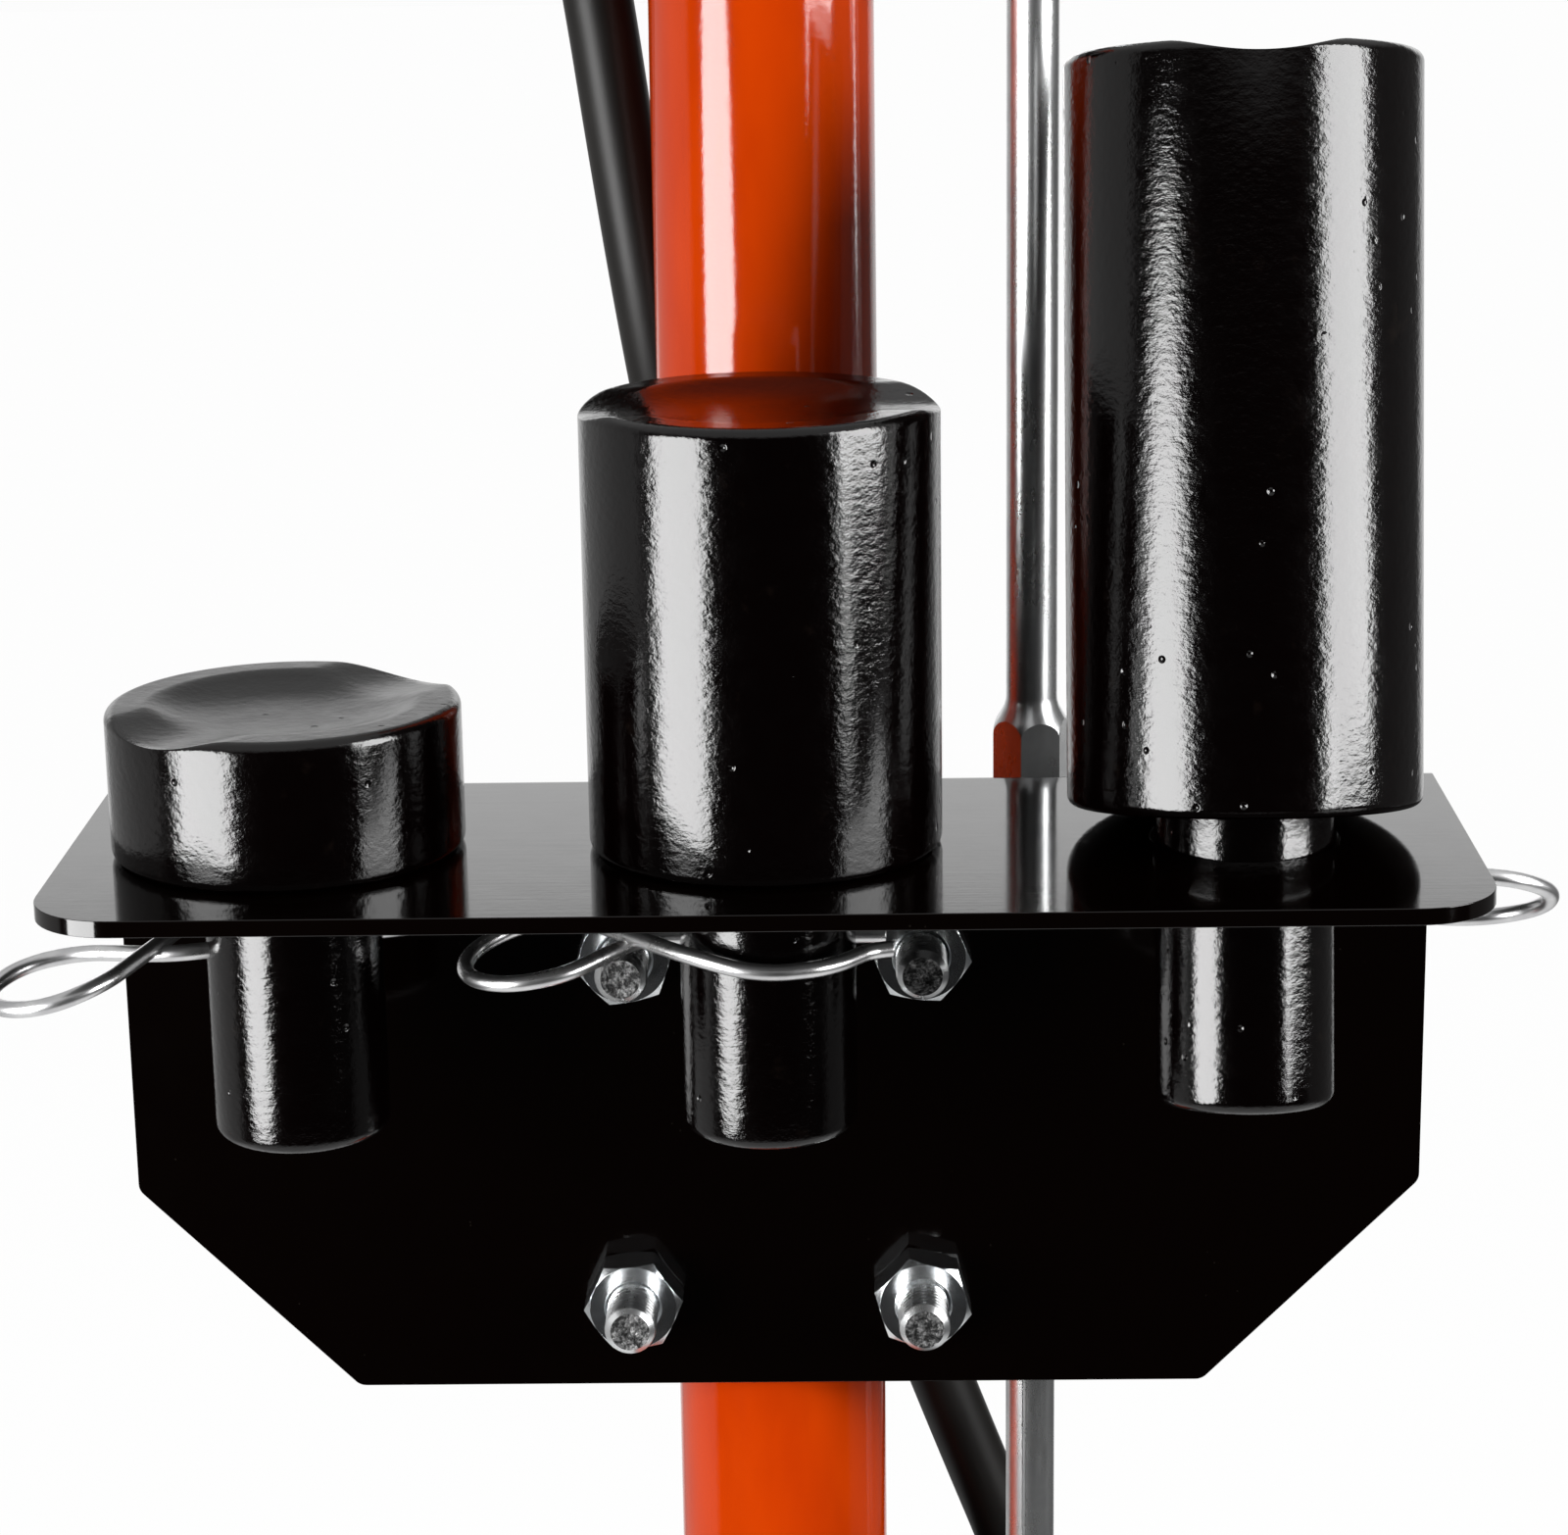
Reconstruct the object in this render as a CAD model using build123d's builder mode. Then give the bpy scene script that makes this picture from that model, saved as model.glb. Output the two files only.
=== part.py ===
# Saddle-adapter rack of an air-hydraulic axle jack, on a section of the jack's handle.
# Frame: origin on the handle tube's axis at its lower end, +Z up the tube, the rack on the -Y side,
# +X to the right of somebody who faces the rack. Millimetres.
import os
from math import cos, pi, radians, sin, tan

from build123d import *

os.makedirs("parts", exist_ok=True)

# ---- driving dimensions ----
tube_od = 42.4
tube_wall = 2.6
tube_length = 410.0

sheet = 3.0  # thickness of the rack's sheet steel
rack_width = 252.0
shelf_z = 225.0  # top face of the shelf above the tube's lower end
shelf_reach = 91.4  # tube face to the shelf's front edge
rack_height = 125.0  # shelf top to the upright's lower edge
bend_inner_r = 2.0
shelf_corner_r = 15.0
flange_cut = 42.0  # size of the upright's two cut-off lower corners
flange_corner_r = 3.0
seat_hole_d = 34.0
seat_pitch = 86.0
seat_offset = 43.1  # seat hole axis in front of the upright's front face

bolt_d = 10.0  # M10 U-bolts
bolt_hole_d = 11.0
bolt_heights = (-33.7, -105.4)  # below the shelf's top face
bolt_side_gap = 2.3  # tube to each leg of a U-bolt
bolt_grip = 0.15  # U-bolt's bow to the back of the tube
bolt_bevel = 1.2
nut_af = 17.0
nut_height = 8.0
nut_bevel = 1.1
nut_countersink = 0.6
nut_turns = (12.0, -8.0, 5.0, -14.0)  # how far each nut happens to be turned, degrees
thread_out = 11.8  # bolt end beyond its nut
thread_gap = 0.05

body_d = 63.5  # adapter body
shaft_d = 32.0
shaft_length = 54.0
short_height = 27.0
medium_height = 80.3
tall_height = 133.0
body_edge_r = 2.0
shaft_edge_r = 2.5
dish_d = 47.0
dish_depth = 2.5
groove_r = 40.0
groove_depth = 2.5
short_groove_angle = 48.0  # direction of each top groove in plan, degrees from +X
medium_groove_angle = 4.0
tall_groove_angle = 90.0
tall_lean = 10.5  # the tall adapter leans back in its seat, degrees
seat_gap = 0.05  # adapter underside to shelf
lean_gap = 0.1  # leaning adapter's lower edge to shelf

wire_d = 3.0  # retaining clips
cross_hole_d = 3.2
cross_gap = 15.0  # cross hole's axis below the shelf
leg_out = 5.5  # straight leg past the far side of the shaft
leg_bend_x = -22.5  # where the leg turns into the ring, from the shaft's axis
leg_bend_r = 13.0
ring_r = 12.0  # ring of the clip, at the wire's centre
ring_reach = 43.0  # shaft axis to ring centre
ring_shift = 1.0  # ring centre beside the leg's line
ring_start = 62.0  # the ring's arc as seen from its centre, degrees
ring_end = 298.0
ring_steps = 5
cross_rise = 3.3  # one wire over the other where the ring closes
bow_gap = 1.4  # wire of the bow to the shaft
bow_angles = (131.0, 93.0, 55.0)  # corners of the bow's route round the shaft, degrees
bow_end = ((18.2, 8.6), (22.5, 7.2))  # the bow's tip turns away from the shaft again
wire_share = 0.48  # how much of each run of wire a bend may take

short_leg_angle = 20.0  # the way each clip's straight leg points, degrees from +X
medium_leg_angle = 0.0
tall_leg_angle = 180.0
short_clip_roll = 6.0  # each clip's turn about its straight leg, degrees
medium_clip_roll = -3.0
tall_clip_roll = -18.0
short_clip_bend = 12.0  # how far each clip's ring is bent down from its leg, degrees
medium_clip_bend = 11.0
tall_clip_bend = 2.0

rod_d = 10.0  # release-valve control rod
rod_x = 51.1
rod_y = 1.5
rod_top = 410.0
rod_bottom = -6.0
rod_edge = 1.0
upper_spigot_d = 8.5  # turned-down ends for the lever and for the valve's coupling
lower_spigot_d = 7.0
spigot_length = 14.0
socket_af = 13.5
socket_top = 226.8
socket_length = 26.0
swage_length = 7.7
socket_turn = 12.0
socket_gap = 0.1
lower_rod_insert = 20.0
coupling_pin_d = 3.0
pin_gap = 0.05

hose_d = 13.5
hose_bore_d = 8.0
grommet_wall = 2.3
grommet_length = 10.0
fit_gap = 0.05  # rubber on hose, bushes in plates, hubs on the tube
rod_run_gap = 0.08  # control rod in its bushes, radial

plate = 5.0  # guide plates
upper_plate_z = 378.0  # underside of each guide plate
lower_plate_z = 20.0
hub_wall = 4.0
hub_height = 16.0
boss_margin = 6.0  # plate metal round the bushes and grommets
bush_wall = 2.0
bush_flange = 1.5
collar_d = 20.0
collar_height = 8.0
collar_gap = 0.3
screw_d = 6.0
collar_screw_d = 4.0

ferrule_length = 18.0
ferrule_wall = 2.0
hex_af = 17.0
hex_length = 7.0
nipple_d = 13.0
nipple_length = 10.0
nipple_bore_d = 5.0
tail_share = 0.7  # how far the nipple's tail goes down the ferrule

# The hose's route, top to bottom: it crosses behind the tube from left to right.
hose_route = [
    (-37.0, 12.8, 405.0),
    (-31.9, 14.6, 373.5),
    (-27.6, 16.6, 340.0),
    (-22.7, 19.6, 305.0),
    (-16.8, 26.5, 268.0),
    (-9.6, 34.0, 228.0),
    (-0.8, 39.6, 186.0),
    (9.7, 41.2, 144.0),
    (22.7, 40.8, 102.0),
    (37.1, 40.0, 63.0),
    (51.1, 39.2, 27.0),
    (62.3, 38.0, -4.0),
]

# ---- places worked out from them ----
tube_r = tube_od / 2
front_y = -tube_r - fit_gap - sheet  # upright's front face
shelf_front_y = front_y + sheet - shelf_reach
seat_y = front_y - seat_offset
shaft_r = shaft_d / 2
body_r = body_d / 2
wire_r = wire_d / 2
cross_drop = sheet + cross_gap
bolt_r = bolt_d / 2
leg_x = tube_r + bolt_side_gap + bolt_r
nut_face_y = front_y - nut_height
hose_r = hose_d / 2


def save(piece, name):
    piece.part.label = name
    export_step(piece.part, f"parts/{name}.step")


def soft_radii(points, share=0.45):
    # the largest arc at each corner that its two runs leave room for
    radii = []
    for before, corner, after in zip(points, points[1:], points[2:]):
        a = Vector(*corner) - Vector(*before)
        b = Vector(*after) - Vector(*corner)
        turn = radians(a.get_angle(b))
        radii.append(share * min(a.length, b.length) / tan(turn / 2))
    return radii


# ---- handle tube ----
with BuildPart() as handle_tube:
    with BuildSketch():
        Circle(tube_r)
        Circle(tube_r - tube_wall, mode=Mode.SUBTRACT)
    extrude(amount=tube_length)
save(handle_tube, "handle_tube")

# ---- rack: one bent sheet with a shelf and an upright ----
with BuildPart() as rack_bracket:
    with BuildSketch(Plane.YZ.offset(-rack_width / 2)):
        with BuildLine():
            Polyline(
                (shelf_front_y, shelf_z),
                (front_y + sheet, shelf_z),
                (front_y + sheet, shelf_z - rack_height),
                (front_y, shelf_z - rack_height),
                (front_y, shelf_z - sheet),
                (shelf_front_y, shelf_z - sheet),
                close=True,
            )
        make_face()
    extrude(amount=rack_width)
    along_x = rack_bracket.edges().filter_by(Axis.X)
    fillet(along_x.sort_by_distance((0, front_y, shelf_z - sheet))[0], bend_inner_r)
    along_x = rack_bracket.edges().filter_by(Axis.X)
    fillet(along_x.sort_by_distance((0, front_y + sheet, shelf_z))[0], bend_inner_r + sheet)
    shelf_corners = rack_bracket.edges().filter_by(Axis.Z).group_by(Axis.Y)[0]
    fillet(shelf_corners, shelf_corner_r)
    flange_corners = rack_bracket.edges().filter_by(Axis.Y).group_by(Axis.Z)[0]
    chamfer(flange_corners, flange_cut)
    low_corners, cut_corners = rack_bracket.edges().filter_by(Axis.Y).group_by(Axis.Z)[:2]
    fillet(low_corners + cut_corners, flange_corner_r)
    with BuildSketch(Plane.XY.offset(shelf_z)):
        with Locations((0, seat_y)):
            with GridLocations(seat_pitch, 0, 3, 1):
                Circle(seat_hole_d / 2)
    extrude(amount=-sheet, mode=Mode.SUBTRACT)
    with BuildSketch(Plane.XZ.offset(-front_y - sheet)):
        for height in bolt_heights:
            with Locations((-leg_x, shelf_z + height), (leg_x, shelf_z + height)):
                Circle(bolt_hole_d / 2)
    extrude(amount=sheet, mode=Mode.SUBTRACT)
save(rack_bracket, "rack_bracket")


# ---- U-bolts and their nuts ----
def make_ubolt(name, height):
    z = shelf_z + height
    leg_end = nut_face_y - thread_out
    back_y = tube_r + bolt_grip + bolt_r
    bow_y = back_y - leg_x
    with BuildPart() as ubolt:
        with BuildLine():
            Line((-leg_x, leg_end, z), (-leg_x, bow_y, z))
            ThreePointArc((-leg_x, bow_y, z), (0, back_y, z), (leg_x, bow_y, z))
            Line((leg_x, bow_y, z), (leg_x, leg_end, z))
        with BuildSketch(Plane((-leg_x, leg_end, z), x_dir=(1, 0, 0), z_dir=(0, 1, 0))):
            Circle(bolt_r)
        sweep()
        tips = ubolt.edges().group_by(Axis.Y)[0]
        chamfer(tips, bolt_bevel)
    save(ubolt, name)


make_ubolt("ubolt_upper", bolt_heights[0])
make_ubolt("ubolt_lower", bolt_heights[1])

nut_corner_r = nut_af / 2 / cos(radians(30))
with BuildPart() as nut_blank:
    with BuildSketch():
        RegularPolygon(nut_af / 2, 6, major_radius=False)
    extrude(amount=nut_height)
    with BuildSketch(Plane.XZ):
        with BuildLine():
            Polyline(
                (0, 0),
                (nut_af / 2, 0),
                (nut_corner_r, nut_bevel),
                (nut_corner_r, nut_height - nut_bevel),
                (nut_af / 2, nut_height),
                (0, nut_height),
                close=True,
            )
        make_face()
    revolve(axis=Axis.Z, mode=Mode.INTERSECT)
    Hole(bolt_r + thread_gap)
    bore_edges = nut_blank.edges().filter_by(GeomType.CIRCLE).group_by(SortBy.RADIUS)[0]
    chamfer(bore_edges, nut_countersink)

nut_places = [(x, shelf_z + height) for height in bolt_heights for x in (-leg_x, leg_x)]
with BuildPart() as ubolt_nuts:
    for (x, z), turn in zip(nut_places, nut_turns):
        face = Plane((x, front_y, z), x_dir=(1, 0, 0), z_dir=(0, -1, 0))
        with Locations(face.location * Location((0, 0, 0), (0, 0, turn))):
            add(nut_blank.part)
save(ubolt_nuts, "ubolt_nuts")


# ---- saddle adapters ----
def seat_plane(x, lean=0.0):
    # the plane of an adapter body's underside; its Z runs up the adapter's axis
    tilt = radians(lean)
    rise = seat_gap
    if lean:
        edge_drop = (body_r - body_edge_r) * sin(tilt) + body_edge_r * (1 - cos(tilt))
        rise = (edge_drop + lean_gap) / cos(tilt)
    up = Vector(0, sin(tilt), cos(tilt))
    foot = Vector(x, seat_y, shelf_z) + up * rise
    return Plane(foot, x_dir=(1, 0, 0), z_dir=up)


def in_plan(seat, angle):
    # a direction square to the adapter's axis
    return seat.x_dir * cos(radians(angle)) + seat.y_dir * sin(radians(angle))


def make_adapter(name, seat, height, groove_angle, leg_angle):
    profile = Plane(seat.origin, x_dir=seat.x_dir, z_dir=-seat.y_dir)
    groove_axis = seat.origin + seat.z_dir * (height - groove_depth + groove_r)
    cross_axis = seat.origin - seat.z_dir * cross_drop
    with BuildPart() as adapter:
        with BuildSketch(profile) as outline:
            with BuildLine():
                Polyline(
                    (0, height - dish_depth),
                    (0, -shaft_length),
                    (shaft_r, -shaft_length),
                    (shaft_r, 0),
                    (body_r, 0),
                    (body_r, height),
                    (dish_d / 2, height),
                )
                dish_curve_r = (dish_d**2 / 4 + dish_depth**2) / (2 * dish_depth)
                RadiusArc((dish_d / 2, height), (0, height - dish_depth), dish_curve_r)
            make_face()
            fillet(outline.vertices().sort_by_distance((shaft_r, -shaft_length))[0], shaft_edge_r)
            fillet(outline.vertices().sort_by_distance((body_r, 0))[0], body_edge_r)
            fillet(outline.vertices().sort_by_distance((body_r, height))[0], body_edge_r)
        revolve(axis=Axis(seat.origin, seat.z_dir))
        with BuildSketch(Plane(groove_axis, z_dir=in_plan(seat, groove_angle))):
            Circle(groove_r)
        extrude(amount=body_d, both=True, mode=Mode.SUBTRACT)
        with BuildSketch(Plane(cross_axis, z_dir=in_plan(seat, leg_angle))):
            Circle(cross_hole_d / 2)
        extrude(amount=shaft_d, both=True, mode=Mode.SUBTRACT)
    save(adapter, name)


short_seat = seat_plane(-seat_pitch)
medium_seat = seat_plane(0)
tall_seat = seat_plane(seat_pitch, tall_lean)
make_adapter("short_adapter", short_seat, short_height, short_groove_angle, short_leg_angle)
make_adapter("medium_adapter", medium_seat, medium_height, medium_groove_angle, medium_leg_angle)
make_adapter("tall_adapter", tall_seat, tall_height, tall_groove_angle, tall_leg_angle)


# ---- retaining clips ----
def clip_route(side, bend):
    # straight leg, ring, then the bow round the shaft, seen along the shaft
    step = radians((ring_end - ring_start) / ring_steps)
    corner_r = ring_r / cos(step / 2)
    points = [(shaft_r + leg_out, 0, 0), (leg_bend_x, 0, 0)]
    for i in range(ring_steps + 1):
        angle = radians(ring_start) + step * i
        rise = cross_rise * i / ring_steps
        u = corner_r * cos(angle) - ring_reach
        points.append((u, ring_shift + corner_r * sin(angle), rise))
    half_turn = radians((bow_angles[0] - bow_angles[1]) / 2)
    bow_corner_r = (shaft_r + wire_r + bow_gap) / cos(half_turn)
    rises = (cross_rise / 2, 0, 0)
    for angle, rise in zip(bow_angles, rises):
        a = radians(angle)
        points.append((bow_corner_r * cos(a), bow_corner_r * sin(a), rise))
    for u, v in bow_end:
        points.append((u, v, 0))
    slope = tan(radians(bend))
    bent = []
    for u, v, w in points:
        past = max(0, leg_bend_x - u)
        bent.append((u, side * v, w - past * slope))
    return bent


def make_clip(name, seat, leg_angle, side, roll, bend):
    leg = in_plan(seat, leg_angle)
    across = seat.z_dir.cross(leg)
    r = radians(roll)
    flat = Plane(
        seat.origin - seat.z_dir * cross_drop,
        x_dir=leg,
        z_dir=seat.z_dir * cos(r) - across * sin(r) * side,
    )
    route = clip_route(side, bend)
    radii = soft_radii(route, wire_share)
    radii[0] = leg_bend_r
    with BuildPart() as clip:
        with BuildLine(flat) as wire:
            FilletPolyline(*route, radius=radii)
        path = wire.wires()[0]
        with BuildSketch(Plane(path @ 0, z_dir=path % 0)):
            Circle(wire_r)
        sweep(path=path)
    print(name, "volume over section times length", clip.part.volume / (path.length * pi * wire_r**2))
    save(clip, name)


make_clip("short_adapter_clip", short_seat, short_leg_angle, 1, short_clip_roll, short_clip_bend)
make_clip("medium_adapter_clip", medium_seat, medium_leg_angle, -1, medium_clip_roll, medium_clip_bend)
make_clip("tall_adapter_clip", tall_seat, tall_leg_angle, -1, tall_clip_roll, tall_clip_bend)


# ---- release-valve control rod: two rods pinned together in a hexagonal socket ----
rod_r = rod_d / 2
pin_z = socket_top - socket_length / 2
socket_corner_r = socket_af / 2 / cos(radians(30))
with BuildPart() as upper_control_rod:
    with BuildSketch(Plane((rod_x, rod_y, socket_top - socket_length))):
        RegularPolygon(socket_af / 2, 6, major_radius=False, rotation=socket_turn)
    extrude(amount=socket_length + swage_length)
    socket_foot = (rod_x, rod_y, socket_top - socket_length)
    with BuildSketch(Plane(socket_foot, x_dir=(1, 0, 0), z_dir=(0, -1, 0))):
        with BuildLine():
            shoulder = (socket_corner_r, socket_length)
            neck = (rod_r, socket_length + swage_length)
            Polyline(shoulder, (socket_corner_r, 0), (0, 0), (0, neck[1]), neck)
            Spline(neck, shoulder, tangents=[(0, -1), (0, -1)])
        make_face()
    revolve(axis=Axis((rod_x, rod_y, 0), (0, 0, 1)), mode=Mode.INTERSECT)
    with BuildSketch(Plane((rod_x, rod_y, socket_top + swage_length))):
        Circle(rod_r)
    extrude(amount=rod_top - spigot_length - socket_top - swage_length)
    with BuildSketch(Plane((rod_x, rod_y, rod_top - spigot_length))):
        Circle(upper_spigot_d / 2)
    extrude(amount=spigot_length)
    chamfer(upper_control_rod.faces().sort_by(Axis.Z)[-1].edges(), rod_edge)
    with BuildSketch(Plane((rod_x, rod_y, socket_top - socket_length))):
        Circle(rod_r + socket_gap)
    extrude(amount=lower_rod_insert + 1, mode=Mode.SUBTRACT)
    with BuildSketch(Plane((rod_x, rod_y, pin_z), z_dir=(0, 1, 0))):
        Circle(coupling_pin_d / 2 + pin_gap)
    extrude(amount=socket_af, both=True, mode=Mode.SUBTRACT)
save(upper_control_rod, "upper_control_rod")

with BuildPart() as lower_control_rod:
    with BuildSketch(Plane((rod_x, rod_y, rod_bottom))):
        Circle(lower_spigot_d / 2)
    extrude(amount=spigot_length)
    with BuildSketch(Plane((rod_x, rod_y, rod_bottom + spigot_length))):
        Circle(rod_r)
    extrude(amount=socket_top - socket_length + lower_rod_insert - rod_bottom - spigot_length)
    ends = lower_control_rod.faces().filter_by(Axis.Z).sort_by(Axis.Z)
    chamfer(ends[0].edges() + ends[-1].edges(), rod_edge)
    with BuildSketch(Plane((rod_x, rod_y, pin_z), z_dir=(0, 1, 0))):
        Circle(coupling_pin_d / 2 + pin_gap)
    extrude(amount=rod_d, both=True, mode=Mode.SUBTRACT)
save(lower_control_rod, "lower_control_rod")

with BuildPart() as rod_coupling_pin:
    with BuildSketch(Plane((rod_x, rod_y - socket_af / 2, pin_z), z_dir=(0, 1, 0))):
        Circle(coupling_pin_d / 2)
    extrude(amount=socket_af)
save(rod_coupling_pin, "rod_coupling_pin")

# ---- air hose ----
with BuildPart() as air_hose:
    with BuildLine() as hose_line:
        FilletPolyline(*hose_route, radius=soft_radii(hose_route))
    hose_path = hose_line.wires()[0]
    with BuildSketch(Plane(hose_path @ 0, z_dir=hose_path % 0)):
        Circle(hose_r)
        Circle(hose_bore_d / 2, mode=Mode.SUBTRACT)
    sweep(path=hose_path)
print("hose radii", [round(r) for r in soft_radii(hose_route)])
hose_area = pi * (hose_r**2 - hose_bore_d**2 / 4)
print("hose length", round(hose_path.length, 1))
print("hose volume over section times length", air_hose.part.volume / hose_area / hose_path.length)
save(air_hose, "air_hose")


def hose_plane_at(z):
    # where the hose passes a height, with Z along it, downwards
    low, high = 0.0, 1.0
    for _ in range(40):
        middle = (low + high) / 2
        if (hose_path @ middle).Z > z:
            low = middle
        else:
            high = middle
    return Plane(hose_path @ low, z_dir=hose_path % low)


# ---- guide plates that carry the control rod and the hose on the tube ----
bush_r = rod_r + rod_run_gap + bush_wall
grommet_r = hose_r + fit_gap * 2 + grommet_wall
hub_r = tube_r + fit_gap + hub_wall


def make_guide(name, z, hub_up):
    middle = hose_plane_at(z + plate / 2)
    hub_z = z + plate if hub_up else z - hub_height
    screw_z = hub_z + hub_height / 2
    with BuildPart() as guide:
        with BuildSketch(Plane.XY.offset(z)):
            Circle(hub_r)
            with Locations((rod_x, rod_y)):
                Circle(bush_r + boss_margin)
            with Locations((middle.origin.X, middle.origin.Y)):
                Circle(grommet_r + boss_margin)
            make_hull()
        extrude(amount=plate)
        with BuildSketch(Plane.XY.offset(hub_z)):
            Circle(hub_r)
        extrude(amount=hub_height)
        with BuildSketch(Plane.XY.offset(min(z, hub_z))):
            Circle(tube_r + fit_gap)
        extrude(amount=plate + hub_height, mode=Mode.SUBTRACT)
        with BuildSketch(Plane((rod_x, rod_y, z))):
            Circle(bush_r + fit_gap)
        extrude(amount=plate, mode=Mode.SUBTRACT)
        with BuildSketch(middle):
            Circle(grommet_r + fit_gap)
        extrude(amount=grommet_length, both=True, mode=Mode.SUBTRACT)
        with BuildSketch(Plane((0, -tube_r, screw_z), z_dir=(0, -1, 0))):
            Circle(screw_d / 2 + fit_gap)
        extrude(amount=hub_wall * 2, mode=Mode.SUBTRACT)
    save(guide, name)
    return middle, screw_z


upper_hose, upper_screw_z = make_guide("upper_guide_plate", upper_plate_z, True)
lower_hose, lower_screw_z = make_guide("lower_guide_plate", lower_plate_z, False)

with BuildPart() as hose_grommets:
    for middle in (upper_hose, lower_hose):
        with BuildSketch(middle):
            Circle(grommet_r)
            Circle(hose_r + fit_gap * 2, mode=Mode.SUBTRACT)
        extrude(amount=grommet_length / 2, both=True)
save(hose_grommets, "hose_grommets")

# each bush has its flange on the side away from the rack
with BuildPart() as rod_bushes:
    for z, flange_z in (
        (upper_plate_z, upper_plate_z + plate),
        (lower_plate_z, lower_plate_z - bush_flange),
    ):
        with BuildSketch(Plane((rod_x, rod_y, z))):
            Circle(bush_r)
            Circle(rod_r + rod_run_gap, mode=Mode.SUBTRACT)
        extrude(amount=plate)
        with BuildSketch(Plane((rod_x, rod_y, flange_z))):
            Circle(bush_r + boss_margin / 2)
            Circle(rod_r + rod_run_gap, mode=Mode.SUBTRACT)
        extrude(amount=bush_flange)
save(rod_bushes, "rod_bushes")

collar_places = (
    upper_plate_z + plate + bush_flange + collar_gap,
    lower_plate_z - bush_flange - collar_gap - collar_height,
)
with BuildPart() as rod_collars:
    for z in collar_places:
        with BuildSketch(Plane((rod_x, rod_y, z))):
            Circle(collar_d / 2)
            Circle(rod_r + fit_gap, mode=Mode.SUBTRACT)
        extrude(amount=collar_height)
        with BuildSketch(Plane((rod_x, rod_y, z + collar_height / 2), z_dir=(0, -1, 0))):
            Circle(collar_screw_d / 2 + fit_gap)
        extrude(amount=collar_d, mode=Mode.SUBTRACT)
save(rod_collars, "rod_collars")


def grub_screws(name, places, d, length, socket_across):
    with BuildPart() as screws:
        for x, y, z in places:
            with BuildSketch(Plane((x, y, z), z_dir=(0, -1, 0))):
                Circle(d / 2)
            extrude(amount=length)
            with BuildSketch(Plane((x, y - length, z), z_dir=(0, 1, 0))):
                RegularPolygon(socket_across / 2, 6, major_radius=False)
            extrude(amount=length / 2, mode=Mode.SUBTRACT)
    save(screws, name)


grub_screws(
    "hub_screws",
    [(0, -tube_r - fit_gap, upper_screw_z), (0, -tube_r - fit_gap, lower_screw_z)],
    screw_d,
    hub_wall + 1,
    screw_d / 2,
)
grub_screws(
    "collar_screws",
    [(rod_x, rod_y - rod_r - fit_gap, z + collar_height / 2) for z in collar_places],
    collar_screw_d,
    collar_d / 2 - rod_r,
    collar_screw_d / 2,
)

# ---- hose fittings: a crimped ferrule and a threaded nipple on each end ----
hose_ends = (
    Plane(hose_path @ 0, z_dir=-(hose_path % 0)),
    Plane(hose_path @ 1, z_dir=hose_path % 1),
)
with BuildPart() as hose_ferrules:
    for end in hose_ends:
        with BuildSketch(end):
            Circle(hose_r + fit_gap + ferrule_wall)
            Circle(hose_r + fit_gap, mode=Mode.SUBTRACT)
        extrude(amount=-ferrule_length)
save(hose_ferrules, "hose_ferrules")

with BuildPart() as hose_nipples:
    for end in hose_ends:
        with BuildSketch(end.offset(fit_gap)):
            RegularPolygon(hex_af / 2, 6, major_radius=False)
        extrude(amount=hex_length)
        with BuildSketch(end.offset(fit_gap + hex_length)):
            Circle(nipple_d / 2)
        extrude(amount=nipple_length)
        with BuildSketch(end.offset(fit_gap)):
            Circle(hose_bore_d / 2 - fit_gap)
        extrude(amount=-ferrule_length * tail_share)
        with BuildSketch(end.offset(-ferrule_length)):
            Circle(nipple_bore_d / 2)
        extrude(amount=ferrule_length + hex_length + nipple_length + 1, mode=Mode.SUBTRACT)
save(hose_nipples, "hose_nipples")
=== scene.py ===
from math import cos, pi, radians, sin, sqrt

import bmesh
import bpy
from mathutils import Matrix, Vector


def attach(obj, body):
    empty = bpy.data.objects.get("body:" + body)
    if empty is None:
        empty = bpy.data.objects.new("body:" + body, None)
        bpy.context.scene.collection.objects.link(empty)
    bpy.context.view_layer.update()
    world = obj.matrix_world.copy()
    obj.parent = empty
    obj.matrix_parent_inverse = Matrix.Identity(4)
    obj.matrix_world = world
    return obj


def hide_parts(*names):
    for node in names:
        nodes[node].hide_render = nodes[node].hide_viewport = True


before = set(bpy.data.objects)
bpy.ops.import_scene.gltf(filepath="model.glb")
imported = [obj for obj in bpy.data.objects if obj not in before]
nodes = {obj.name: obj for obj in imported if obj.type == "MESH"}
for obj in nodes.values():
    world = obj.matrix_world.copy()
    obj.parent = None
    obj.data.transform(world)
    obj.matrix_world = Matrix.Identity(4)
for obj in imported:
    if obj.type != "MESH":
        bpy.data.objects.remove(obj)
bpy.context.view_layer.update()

mm = 0.001


cameraSetup = {
    "place": (0.0155, -0.72434, 0.4147),
    "lens": 87.14,
    "sensor": 36,
    "near": 0.01,
    "far": 50,
    "turnLeft": 1.054,  # degrees
    "lookDown": 15.003,
    "roll": -0.8755,
}

studio = {
    "white": (1.0, 1.0, 1.0),
    "aim": (0.0, -0.06, 0.26),
    "floorHeight": -0.07,
    "floorSize": 14.0,
    "floorGlow": 0.975,
    "floorGrey": 0.015,
    "sky": 0.975,
}

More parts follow.
